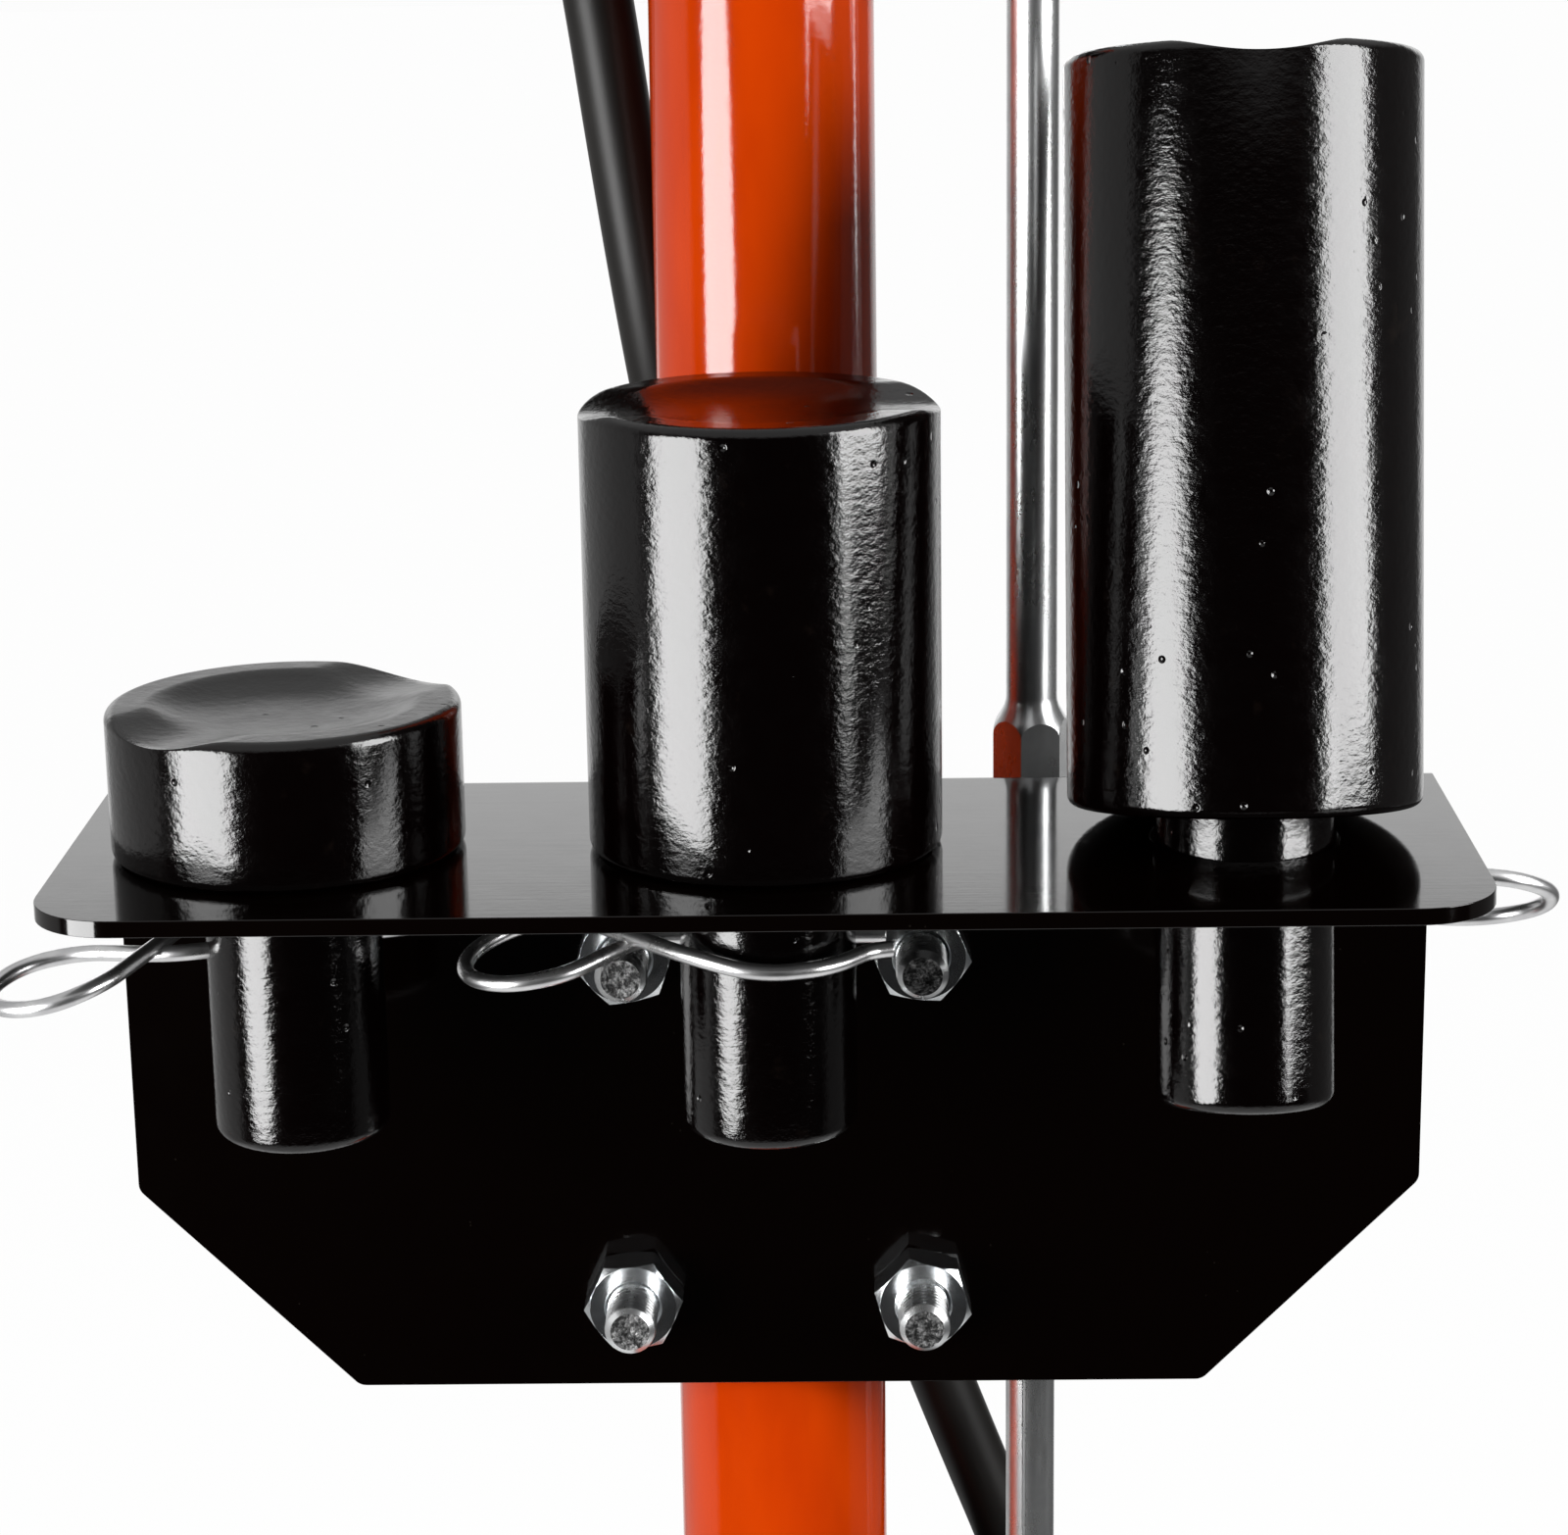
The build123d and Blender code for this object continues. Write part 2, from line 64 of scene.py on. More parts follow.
# angle round the object in degrees from the front, the rest in metres
softboxes = {
    "left_softbox": {
        "shape": "ELLIPSE", "angle": -50.5, "distance": 0.6, "width": 0.38,
        "low": -0.08, "high": 0.435, "glow": 12.6,
    },
    "right_softbox": {
        "shape": "RECTANGLE", "angle": 66.0, "distance": 0.7, "width": 0.38,
        "low": 0.185, "high": 0.8, "glow": 14.5,
    },
    "right_strip": {
        "shape": "ELLIPSE", "angle": 54.0, "distance": 0.68, "width": 0.1,
        "low": 0.07, "high": 0.25, "glow": 5.0,
    },
}

# brightness of the light tent's walls, which only reflections and shading see
tent = {
    "rear": 0.28,
    "rearLow": 0.57,
    "rearHorizon": 0.62,
    "left": 0.42,
    "right": 0.1,
    "front": 0.012,
    "ceiling": 0.6,
    "ground": 0.8,
}


def makeCamera(setup):
    camera = bpy.data.objects.new("camera", bpy.data.cameras.new("camera"))
    camera.data.lens = setup["lens"]
    camera.data.sensor_width = setup["sensor"]
    camera.data.clip_start = setup["near"]
    camera.data.clip_end = setup["far"]
    turn = Matrix.Rotation(radians(setup["turnLeft"]), 4, "Z")
    tip = Matrix.Rotation(radians(90 - setup["lookDown"]), 4, "X")
    roll = Matrix.Rotation(radians(setup["roll"]), 4, "Z")
    camera.matrix_world = Matrix.Translation(setup["place"]) @ turn @ tip @ roll
    bpy.context.collection.objects.link(camera)
    bpy.context.scene.camera = camera


# a socket that carries Python's operators; each one adds a Math node
class Shade:
    def __init__(self, tree, socket):
        self.tree = tree
        self.socket = socket

    def maths(self, operation, other):
        node = self.tree.nodes.new("ShaderNodeMath")
        node.operation = operation
        plug(self.tree, node.inputs[0], self)
        plug(self.tree, node.inputs[1], other)
        return Shade(self.tree, node.outputs[0])

    def __add__(self, other): return self.maths("ADD", other)
    def __radd__(self, other): return self.maths("ADD", other)
    def __mul__(self, other): return self.maths("MULTIPLY", other)
    def __rmul__(self, other): return self.maths("MULTIPLY", other)
    def __gt__(self, other): return self.maths("GREATER_THAN", other)
    def __lt__(self, other): return self.maths("LESS_THAN", other)
    def most(self, other): return self.maths("MAXIMUM", other)


def plug(tree, target, value):
    if isinstance(value, Shade):
        tree.links.new(value.socket, target)
    else:
        target.default_value = value


def make(tree, kind, settings=None, out=0, **inputs):
    # settings go on first, then the sockets: by name, with _ for a space, or by number, as i0
    node = tree.nodes.new(kind)
    for key, value in (settings or {}).items():
        setattr(node, key, value)
    for key, value in inputs.items():
        numbered = key[0] == "i" and key[1:].isdigit()
        plug(tree, node.inputs[int(key[1:]) if numbered else key.replace("_", " ")], value)
    if out is not None:
        return Shade(tree, node.outputs[out])


def step(tree, value, low, high, fromValue=0.0, toValue=1.0):
    # a smooth change between two limits
    return make(
        tree, "ShaderNodeMapRange", {"interpolation_type": "SMOOTHSTEP"},
        Value=value, From_Min=low, From_Max=high, To_Min=fromValue, To_Max=toValue,
    )


def makeWorld():
    # a light tent: bright behind, half bright on the left, dark on the side of the camera
    world = bpy.data.worlds.new("tent")
    bpy.context.scene.world = world
    world.use_nodes = True
    tree = world.node_tree
    tree.nodes.clear()
    direction = make(tree, "ShaderNodeTexCoord")
    across, back, up = (make(tree, "ShaderNodeSeparateXYZ", out=i, Vector=direction) for i in range(3))
    behind = step(tree, back, 0.72, 0.9)
    low = step(tree, up, 0.285, 0.33, 1.0, 0.0)
    horizon = step(tree, up, -0.05, 0.15) * tent["rearHorizon"]
    rear = behind * (tent["rear"] + low * (tent["rearLow"] + horizon))
    sides = step(tree, back, -0.24, -0.1)
    leftWall = step(tree, across * -1, 0.0, 0.6) * sides * tent["left"]
    rightWall = step(tree, across, 0.0, 0.6) * sides * tent["right"]
    ceiling = step(tree, up, 0.25, 0.75) * tent["ceiling"]
    ground = step(tree, up * -1, 0.45, 0.8) * tent["ground"]
    front = tent["front"] + ceiling + ground
    glow = rear.most(leftWall).most(rightWall).most(front)
    shown = make(tree, "ShaderNodeLightPath")
    mixed = make(tree, "ShaderNodeMix", {"data_type": "FLOAT"}, i0=shown, i2=glow, i3=studio["sky"])
    light = make(tree, "ShaderNodeBackground", Color=(*studio["white"], 1), Strength=mixed)
    make(tree, "ShaderNodeOutputWorld", out=None, Surface=light)


def makeSoftbox(name, box):
    aim = Vector(studio["aim"])
    angle = radians(box["angle"])
    height = box["high"] - box["low"]
    away = Vector((sin(angle), -cos(angle), 0)) * box["distance"]
    place = Vector((aim.x + away.x, aim.y + away.y, (box["low"] + box["high"]) / 2))
    light = bpy.data.lights.new(name, "AREA")
    light.shape = box["shape"]
    light.size = box["width"]
    light.size_y = height
    light.energy = box["glow"] * pi * box["width"] * height
    light.color = studio["white"]
    softbox = bpy.data.objects.new(name, light)
    facing = (-away).to_track_quat("-Z", "Y").to_matrix().to_4x4()
    softbox.matrix_world = Matrix.Translation(place) @ facing
    bpy.context.collection.objects.link(softbox)


def makeFloor():
    half, z = studio["floorSize"] / 2, studio["floorHeight"]
    corners = [(-half, -half, z), (half, -half, z), (half, half, z), (-half, half, z)]
    mesh = bpy.data.meshes.new("floor")
    mesh.from_pydata(corners, [], [(0, 1, 2, 3)])
    floor = bpy.data.objects.new("floor", mesh)
    bpy.context.collection.objects.link(floor)
    paper = bpy.data.materials.new("paper")
    paper.use_nodes = True
    tree = paper.node_tree
    tree.nodes.clear()
    glow = make(tree, "ShaderNodeEmission", Color=(*studio["white"], 1), Strength=studio["floorGlow"])
    matt = make(tree, "ShaderNodeBsdfDiffuse", Color=(*[studio["floorGrey"]] * 3, 1))
    both = make(tree, "ShaderNodeAddShader", i0=glow, i1=matt)
    make(tree, "ShaderNodeOutputMaterial", out=None, Surface=both)
    mesh.materials.append(paper)
    floor.visible_glossy = False
    floor.visible_diffuse = False


makeCamera(cameraSetup)
makeWorld()
for boxName, boxSetup in softboxes.items():
    makeSoftbox(boxName, boxSetup)
makeFloor()
bpy.context.scene.view_settings.view_transform = "Standard"
print("studio ready")


def startMaterial(name):
    material = bpy.data.materials.new(name)
    material.use_nodes = True
    tree = material.node_tree
    tree.nodes.clear()
    place = make(tree, "ShaderNodeTexCoord", out=3)
    return material, tree, place


def stretched(tree, place, scale):
    return make(tree, "ShaderNodeMapping", {"vector_type": "POINT"}, Vector=place, Scale=scale)


def noise(tree, place, scale, detail=2.0, rough=0.5):
    # scale is in waves per metre
    return make(
        tree, "ShaderNodeTexNoise", {"noise_dimensions": "3D"},
        Vector=place, Scale=scale, Detail=detail, Roughness=rough,
    )


def cells(tree, place, scale):
    return make(tree, "ShaderNodeTexVoronoi", {"feature": "F1"}, Vector=place, Scale=scale, Randomness=1.0)


def surface(tree, heights, **sockets):
    # a surface with one Bump node on another, for heights in metres
    for height in heights:
        under = {"Normal": sockets["Normal"]} if "Normal" in sockets else {}
        sockets["Normal"] = make(tree, "ShaderNodeBump", Strength=1.0, Distance=1.0, Height=height, **under)
    shader = make(tree, "ShaderNodeBsdfPrincipled", **sockets)
    make(tree, "ShaderNodeOutputMaterial", out=None, Surface=shader)


def tint(tree, mask, first, second):
    return make(
        tree, "ShaderNodeMix", {"data_type": "RGBA"}, out=2, i0=mask, i6=(*first, 1), i7=(*second, 1),
    )


# heights of ripple, grain, sag, streak and pit are in metres
castCoat = {
    "black": (0.0005, 0.0001, 0.0001),
    "worn": (0.006, 0.004, 0.003),
    "wornShare": 0.35,
    "roughness": 0.06,
    "uneven": 0.1,  # how much the roughness varies
    "topDull": 0.2,  # added roughness of the dished tops
    "ripple": 0.0001,
    "rippleScale": 520,
    "grain": 0.000005,
    "grainScale": 2600,
    "sag": 0.00007,
    "sagScale": 90,
    "pit": 0.00026,
    "pitScale": 165,
    "pitAreas": 38,
}


def makeCastCoat():
    # thick black powder coat over turned steel: ripples, fine grain and a few blown pits
    coat = castCoat
    material, tree, place = startMaterial("black_cast_coat")
    ripple = noise(tree, stretched(tree, place, (1, 1, 1.4)), coat["rippleScale"], 4.0, 0.6)
    grain = noise(tree, place, coat["grainScale"], 1.0)
    sag = noise(tree, stretched(tree, place, (1, 1, 0.25)), coat["sagScale"], 1.0, 0.4)
    chosen = noise(tree, place, coat["pitAreas"], 0.0) > 0.57
    pit = step(tree, cells(tree, place, coat["pitScale"]), 0.03, 0.13, 1.0, 0.0) * chosen
    worn = step(tree, noise(tree, place, 150, 3.0, 0.6), 0.62, 0.8) * coat["wornShare"]
    top = make(tree, "ShaderNodeAttribute", {"attribute_name": "top"}, out=2)
    uneven = noise(tree, place, 240) * coat["uneven"]
    heights = (sag * coat["sag"], ripple * coat["ripple"] + grain * coat["grain"], pit * -coat["pit"])
    surface(
        tree, heights, Base_Color=tint(tree, worn, coat["black"], coat["worn"]),
        Roughness=coat["roughness"] + uneven + top * coat["topDull"],
    )
    return material


sheetCoat = {
    "black": (0.0007, 0.0002, 0.0001),
    "dusty": (0.006, 0.005, 0.004),
    "dustShare": 0.8,
    "dustScale": 260,
    "dustAreas": 60,
    "roughness": 0.06,
    "uneven": 0.05,
    "ripple": 0.000004,
    "rippleScale": 520,
    "grain": 0.0000007,
    "grainScale": 3000,
    "streak": 0.000005,
    "streakScale": 900,
}


def makeSheetCoat():
    # smooth black powder coat on sheet steel, with faint rolling streaks along X
    coat = sheetCoat
    material, tree, place = startMaterial("black_sheet_coat")
    streak = noise(tree, stretched(tree, place, (0.05, 1, 1)), coat["streakScale"])
    ripple = noise(tree, place, coat["rippleScale"])
    grain = noise(tree, place, coat["grainScale"], 1.0)
    chosen = noise(tree, place, coat["dustAreas"], 0.0) > 0.62
    dust = (cells(tree, place, coat["dustScale"]) < 0.05) * chosen * coat["dustShare"]
    uneven = noise(tree, place, 120) * coat["uneven"]
    heights = (streak * coat["streak"], ripple * coat["ripple"] + grain * coat["grain"])
    surface(
        tree, heights, Base_Color=tint(tree, dust, coat["black"], coat["dusty"]),
        Roughness=coat["roughness"] + uneven,
    )
    return material


tubeCoat = {
    "orange": (0.395, 0.0315, 0.0002),
    "deep": (0.345, 0.0245, 0.0002),
    "cloudScale": 60,
    "roughness": 0.06,
    "uneven": 0.06,
    "ripple": 0.00003,
    "rippleScale": 640,
    "grain": 0.000003,
    "grainScale": 2400,
    "sag": 0.00005,
    "sagScale": 110,
}


def makeTubeCoat():
    # bright orange powder coat
    coat = tubeCoat
    material, tree, place = startMaterial("orange_coat")
    cloud = noise(tree, stretched(tree, place, (1, 1, 0.3)), coat["cloudScale"], 3.0, 0.55)
    ripple = noise(tree, stretched(tree, place, (1, 1, 1.4)), coat["rippleScale"], 4.0, 0.6)
    grain = noise(tree, place, coat["grainScale"], 1.0)
    sag = noise(tree, stretched(tree, place, (1, 1, 0.12)), coat["sagScale"], 1.0, 0.4)
    uneven = noise(tree, place, 300) * coat["uneven"]
    heights = (sag * coat["sag"], ripple * coat["ripple"] + grain * coat["grain"])
    surface(
        tree, heights, Base_Color=tint(tree, step(tree, cloud, 0.35, 0.7), coat["orange"], coat["deep"]),
        Roughness=coat["roughness"] + uneven,
    )
    return material


# spread: how much the roughness varies; lines: stretch of the fine marks; height: theirs, in metres
metals = {
    "bright_zinc": {
        "bright": (0.8, 0.81, 0.81), "dull": (0.62, 0.63, 0.64), "blotches": 85,
        "roughness": 0.2, "spread": 0.16, "lines": (1, 1, 0.2), "height": 0.00001,
    },
    "nut_zinc": {
        "bright": (0.8, 0.82, 0.83), "dull": (0.6, 0.63, 0.66), "blotches": 160,
        "roughness": 0.11, "spread": 0.16, "lines": (1, 1, 1), "height": 0.00001,
    },
    "wire_zinc": {
        "bright": (0.8, 0.8, 0.8), "dull": (0.62, 0.62, 0.63), "blotches": 130,
        "roughness": 0.2, "spread": 0.18, "lines": (0.5, 1, 1), "height": 0.000008,
    },
    "oiled_steel": {
        "bright": (0.09, 0.09, 0.095), "dull": (0.05, 0.05, 0.052), "blotches": 85,
        "roughness": 0.24, "spread": 0.2, "lines": (1, 1, 1), "height": 0.000006,
    },
    "turned_brass": {
        "bright": (0.7, 0.5, 0.2), "dull": (0.56, 0.38, 0.14), "blotches": 85,
        "roughness": 0.16, "spread": 0.16, "lines": (1, 1, 0.3), "height": 0.000004,
    },
}


def makeMetal(name):
    # metallic finish with blotches and fine marks
    metal = metals[name]
    material, tree, place = startMaterial(name)
    blot = noise(tree, place, metal["blotches"], 3.0, 0.6)
    marks = noise(tree, stretched(tree, place, metal["lines"]), 700, 3.0, 0.6)
    grain = noise(tree, place, 1500)
    varied = blot * metal["spread"] * 0.6 + marks * metal["spread"] * 0.4
    heights = (marks * metal["height"], grain * metal["height"] * 0.6)
    surface(
        tree, heights, Metallic=1.0, Roughness=metal["roughness"] + varied,
        Base_Color=tint(tree, step(tree, blot, 0.35, 0.72), metal["bright"], metal["dull"]),
    )
    return material


hoseCover = {
    "black": (0.004, 0.0035, 0.003),
    "bloom": (0.009, 0.008, 0.007),
    "shine": 0.25,
    "roughness": 0.36,
    "uneven": 0.16,
    "grain": 0.00001,
}


def makeRubber():
    # smooth black hose cover with a faint bloom
    cover = hoseCover
    material, tree, place = startMaterial("hose_cover")
    bloom = noise(tree, stretched(tree, place, (1, 1, 0.2)), 70, 3.0, 0.6)
    grain = noise(tree, stretched(tree, place, (1, 1, 0.4)), 700, 3.0, 0.6)
    surface(
        tree, [grain * cover["grain"]], Specular_IOR_Level=cover["shine"],
        Base_Color=tint(tree, step(tree, bloom, 0.3, 0.75), cover["black"], cover["bloom"]),
        Roughness=cover["roughness"] + bloom * cover["uneven"],
    )
    return material


mouldedNylon = {
    "black": (0.012, 0.012, 0.013),
    "grey": (0.03, 0.03, 0.032),
    "roughness": 0.4,
    "uneven": 0.18,
    "grain": 0.000012,
}


def makePlastic():
    # moulded black nylon with a fine texture
    moulded = mouldedNylon
    material, tree, place = startMaterial("black_nylon")
    grain = noise(tree, place, 1800, 3.0, 0.6)
    surface(
        tree, [grain * moulded["grain"]], Base_Color=tint(tree, grain, moulded["black"], moulded["grey"]),
        Roughness=moulded["roughness"] + grain * moulded["uneven"],
    )
    return material


sawnFace = {
    "dark": (0.03, 0.03, 0.03),
    "light": (0.3, 0.3, 0.3),
    "roughness": 0.24,
    "uneven": 0.2,
    "lump": 0.0004,
}


def makeSawnEnd():
    # sawn and zinc-dipped bolt end: dark, pitted and rough
    face = sawnFace
    material, tree, place = startMaterial("sawn_end")
    lump = noise(tree, place, 900, 4.0, 0.7)
    surface(
        tree, [lump * face["lump"]], Metallic=1.0, Roughness=face["roughness"] + lump * face["uneven"],
        Base_Color=tint(tree, step(tree, lump, 0.4, 0.7), face["dark"], face["light"]),
    )
    return material


castBlack = makeCastCoat()
sheetBlack = makeSheetCoat()
orange = makeTubeCoat()
zinc = makeMetal("bright_zinc")
nutZinc = makeMetal("nut_zinc")
wireZinc = makeMetal("wire_zinc")
darkSteel = makeMetal("oiled_steel")
brass = makeMetal("turned_brass")
rubber = makeRubber()
nylon = makePlastic()
sawnEnd = makeSawnEnd()
print("materials ready")


# what counts as a hard edge, and how its neighbours are cleaned first
easing = {
    "sharp": 32.0,  # edges above this angle are eased, degrees
    "segments": 2,
    "weld": 0.000002,
    "shortest": 0.000001,
    "flat": 0.08,  # faces closer than this in angle become one, degrees
}


def newPiece(name, verts, faces, materials):
    mesh = bpy.data.meshes.new(name)
    mesh.from_pydata(verts, [], faces)
    mesh.validate()
    for material in materials:
        mesh.materials.append(material)
    for polygon in mesh.polygons:
        polygon.use_smooth = True
    piece = bpy.data.objects.new(name, mesh)
    bpy.context.collection.objects.link(piece)
    return piece


def settle(piece):
    # turns modifiers into plain mesh
    graph = bpy.context.evaluated_depsgraph_get()
    mesh = bpy.data.meshes.new_from_object(piece.evaluated_get(graph))
    piece.modifiers.clear()
    old = piece.data
    piece.data = mesh
    mesh.name = piece.name
    if old.users == 0:
        bpy.data.meshes.remove(old)
    return piece


def facesOut(piece):
    work = bmesh.new()
    work.from_mesh(piece.data)
    bmesh.ops.recalc_face_normals(work, faces=work.faces)
    work.to_mesh(piece.data)
    work.free()


def keepSharp(piece, angle):
    # smooth shading that stops at the few truly hard edges
    work = bmesh.new()
    work.from_mesh(piece.data)
    for edge in work.edges:
        if len(edge.link_faces) == 2 and edge.calc_face_angle(0) > radians(angle):
            edge.smooth = False
    for face in work.faces:
        face.smooth = True
    work.to_mesh(piece.data)
    work.free()


def finished(piece, body, nodeName):
    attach(piece, body)
    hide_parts(nodeName)


def softEdged(nodeName, material, width):
    # a clean copy of a CAD node whose hard edges are eased
    source = nodes[nodeName].data
    work = bmesh.new()
    places = [work.verts.new(v.co) for v in source.vertices]
    work.verts.ensure_lookup_table()
    for polygon in source.polygons:
        corners = [places[i] for i in polygon.vertices]
        if work.faces.get(corners) is None:
            work.faces.new(corners)
    bmesh.ops.remove_doubles(work, verts=work.verts, dist=easing["weld"])
    bmesh.ops.dissolve_degenerate(work, edges=work.edges, dist=easing["shortest"])
    bmesh.ops.dissolve_limit(
        work, angle_limit=radians(easing["flat"]), verts=work.verts, edges=work.edges,
        use_dissolve_boundaries=False,
    )
    mesh = bpy.data.meshes.new(nodeName + "_look")
    work.to_mesh(mesh)
    work.free()
    mesh.materials.append(material)
    for polygon in mesh.polygons:
        polygon.use_smooth = True
    piece = bpy.data.objects.new(nodeName + "_look", mesh)
    bpy.context.collection.objects.link(piece)
    bevel = piece.modifiers.new("ease", "BEVEL")
    bevel.limit_method = "ANGLE"
    bevel.angle_limit = radians(easing["sharp"])
    bevel.width = width
    bevel.segments = easing["segments"]
    bevel.use_clamp_overlap = True
    bevel.harden_normals = True
    weigh = piece.modifiers.new("weigh", "WEIGHTED_NORMAL")
    weigh.keep_sharp = True
    return settle(piece)


# ease: width of the eased edge in metres
handleTube = {"body": "handle", "slot": "orange_coat", "look": orange, "ease": 0.0006}
rackBracket = {"body": "handle", "slot": "black_coat", "look": sheetBlack, "ease": 0.0006}
guidePlate = {"body": "handle", "slot": "black_coat", "look": sheetBlack, "ease": 0.0005}
boltNuts = {"body": "handle", "slot": "zinc", "look": nutZinc, "ease": 0.00022}
hubScrews = {"body": "handle", "slot": "spring_steel", "look": darkSteel, "ease": 0.00015}
rodBushes = {"body": "handle", "slot": "nylon", "look": nylon, "ease": 0.0003}
hoseGrommets = {"body": "handle", "slot": "hose_rubber", "look": rubber, "ease": 0.0005}
hoseFittings = {"body": "handle", "slot": "fitting_brass", "look": brass, "ease": 0.0003}
upperRod = {"body": "control_rod", "slot": "zinc", "look": zinc, "ease": 0.0006}
lowerRod = {"body": "control_rod", "slot": "zinc", "look": zinc, "ease": 0.0002}
couplingPin = {"body": "control_rod", "slot": "spring_steel", "look": darkSteel, "ease": 0.00015}
rodCollars = {"body": "control_rod", "slot": "zinc", "look": nutZinc, "ease": 0.0004}
collarScrews = {"body": "control_rod", "slot": "spring_steel", "look": darkSteel, "ease": 0.00012}
shortClip = {"body": "short_clip_body", "slot": "clip_wire", "look": wireZinc, "ease": 0.0003}
mediumClip = {"body": "medium_clip_body", "slot": "clip_wire", "look": wireZinc, "ease": 0.0003}
tallClip = {"body": "tall_clip_body", "slot": "clip_wire", "look": wireZinc, "ease": 0.0003}

easedParts = {
    "handle_tube": handleTube,
    "rack_bracket": rackBracket,
    "upper_guide_plate": guidePlate,
    "lower_guide_plate": guidePlate,
    "ubolt_nuts": boltNuts,
    "hub_screws": hubScrews,
    "rod_bushes": rodBushes,
    "hose_grommets": hoseGrommets,
    "hose_ferrules": hoseFittings,
    "hose_nipples": hoseFittings,
    "upper_control_rod": upperRod,
    "lower_control_rod": lowerRod,
    "rod_coupling_pin": couplingPin,
    "rod_collars": rodCollars,
    "collar_screws": collarScrews,
    "short_adapter_clip": shortClip,
    "medium_adapter_clip": mediumClip,
    "tall_adapter_clip": tallClip,
}

for nodeName, part in easedParts.items():
    finished(softEdged(nodeName, part["look"], part["ease"]), part["body"], nodeName)
print("eased parts ready")


# sizes in millimetres
adapterShape = {
    "bodyRadius": 31.75,
    "shaftRadius": 16.0,
    "shaftLength": 54.0,
    "edge": 2.0,  # rounding of the body's rims
    "shaftEdge": 2.5,
    "neck": 0.6,  # rounding between body and shaft
    "dishRadius": 23.5,
    "dishDepth": 2.9,
    "dishPower": 4,  # how flat the dish is in the middle
    "grooveRadius": 40.0,
    "grooveDepth": 2.3,
    "softness": 0.9,  # how softly dish and groove meet the rim
    "topBand": 4.0,  # depth below the rim that counts as the top
    "crossHole": 3.2,
    "crossDrop": 18.0,
    "hardEdge": 50,  # degrees
    "around": 192,
}

# foot: middle of the body's underside; lean, groove and leg are in degrees; dull: share of topDull
shortAdapter = {
    "foot": (-86, -67.35, 225.05), "height": 27.0, "lean": 0.0, "groove": 48.0, "leg": 20.0, "dull": 1.0,
}
mediumAdapter = {
    "foot": (0, -67.35, 225.05), "height": 80.3, "lean": 0.0, "groove": 4.0, "leg": 0.0, "dull": 0.15,
}
tallAdapter = {
    "foot": (86, -66.3213, 230.5548), "height": 133.0, "lean": 10.5, "groove": 90.0, "leg": 180.0, "dull": 0.6,
}
adapters = {"short_adapter": shortAdapter, "medium_adapter": mediumAdapter, "tall_adapter": tallAdapter}


def softLeast(a, b, softness):
    near = max(softness - abs(a - b), 0) / softness
    return min(a, b) - near * near * softness / 4


def adapterTop(shape, height, radius, sideways):
    # height of the top face at a distance from the axis and from the groove's line
    bowl = shape["dishDepth"] * (1 - (radius / shape["dishRadius"]) ** shape["dishPower"])
    dish = height - max(bowl, -1)
    wide = shape["grooveRadius"]
    groove = height - shape["grooveDepth"] + wide - sqrt(wide**2 - sideways**2)
    rim = height
    over = radius - (shape["bodyRadius"] - shape["edge"])
    if over > 0:
        rim = height - shape["edge"] + sqrt(max(shape["edge"] ** 2 - over**2, 0))
    return softLeast(softLeast(dish, rim, shape["softness"]), groove, shape["softness"])


def spread(low, high, count):
    return [low + (high - low) * i / count for i in range(1, count + 1)]


def arc(centre, radius, start, end, count):
    # points of a rounded edge as (radius, height), without the first one
    return [
        (centre[0] + radius * cos(radians(a)), centre[1] + radius * sin(radians(a)))
        for a in spread(start, end, count)
    ]


def topRadii(shape):
    # radii of the rings of the top face, closer together round the dish's edge
    flat = shape["bodyRadius"] - shape["edge"]
    dish = shape["dishRadius"]
    return (
        spread(0, dish - 2, 16) + spread(dish - 2, dish + 2, 12) + spread(dish + 2, flat, 8)
        + [flat + shape["edge"] * sin(radians(a)) for a in spread(0, 90, 12)]
    )


def lowerProfile(shape, height):
    # (radius, height) of the rings from the body's wall down to the shaft's end
    body, shaft, edge, neck = shape["bodyRadius"], shape["shaftRadius"], shape["edge"], shape["neck"]
    end, tipEdge = -shape["shaftLength"], shape["shaftEdge"]
    rings = [(body, z) for z in spread(height - edge, edge, 6)]
    rings += arc((body - edge, edge), edge, 0, -90, 8)
    rings += [(r, 0) for r in spread(body - edge, shaft + neck, 4)]
    rings += [
        (shaft + neck * (1 - sin(radians(a))), -neck * (1 - cos(radians(a)))) for a in spread(0, 90, 4)
    ]
    rings += [(shaft, z) for z in spread(-neck, end + tipEdge, 10)]
    rings += arc((shaft - tipEdge, end + tipEdge), tipEdge, 0, -90, 8)
    return rings + [(r, end) for r in (10.0, 6.0, 2.0)]


def cutHole(piece, middle, line, diameter):
    hole = bmesh.new()
    place = Matrix.Translation(middle) @ line.to_track_quat("Z", "Y").to_matrix().to_4x4()
    bmesh.ops.create_cone(
        hole, cap_ends=True, segments=32, radius1=diameter / 2 * mm, radius2=diameter / 2 * mm,
        depth=0.05, matrix=place,
    )
    cutterMesh = bpy.data.meshes.new("cutter")
    hole.to_mesh(cutterMesh)
    hole.free()
    cutter = bpy.data.objects.new("cutter", cutterMesh)
    bpy.context.collection.objects.link(cutter)
    cut = piece.modifiers.new("cut", "BOOLEAN")
    cut.operation = "DIFFERENCE"
    cut.solver = "EXACT"
    cut.object = cutter
    settle(piece)
    bpy.data.objects.remove(cutter)
    bpy.data.meshes.remove(cutterMesh)


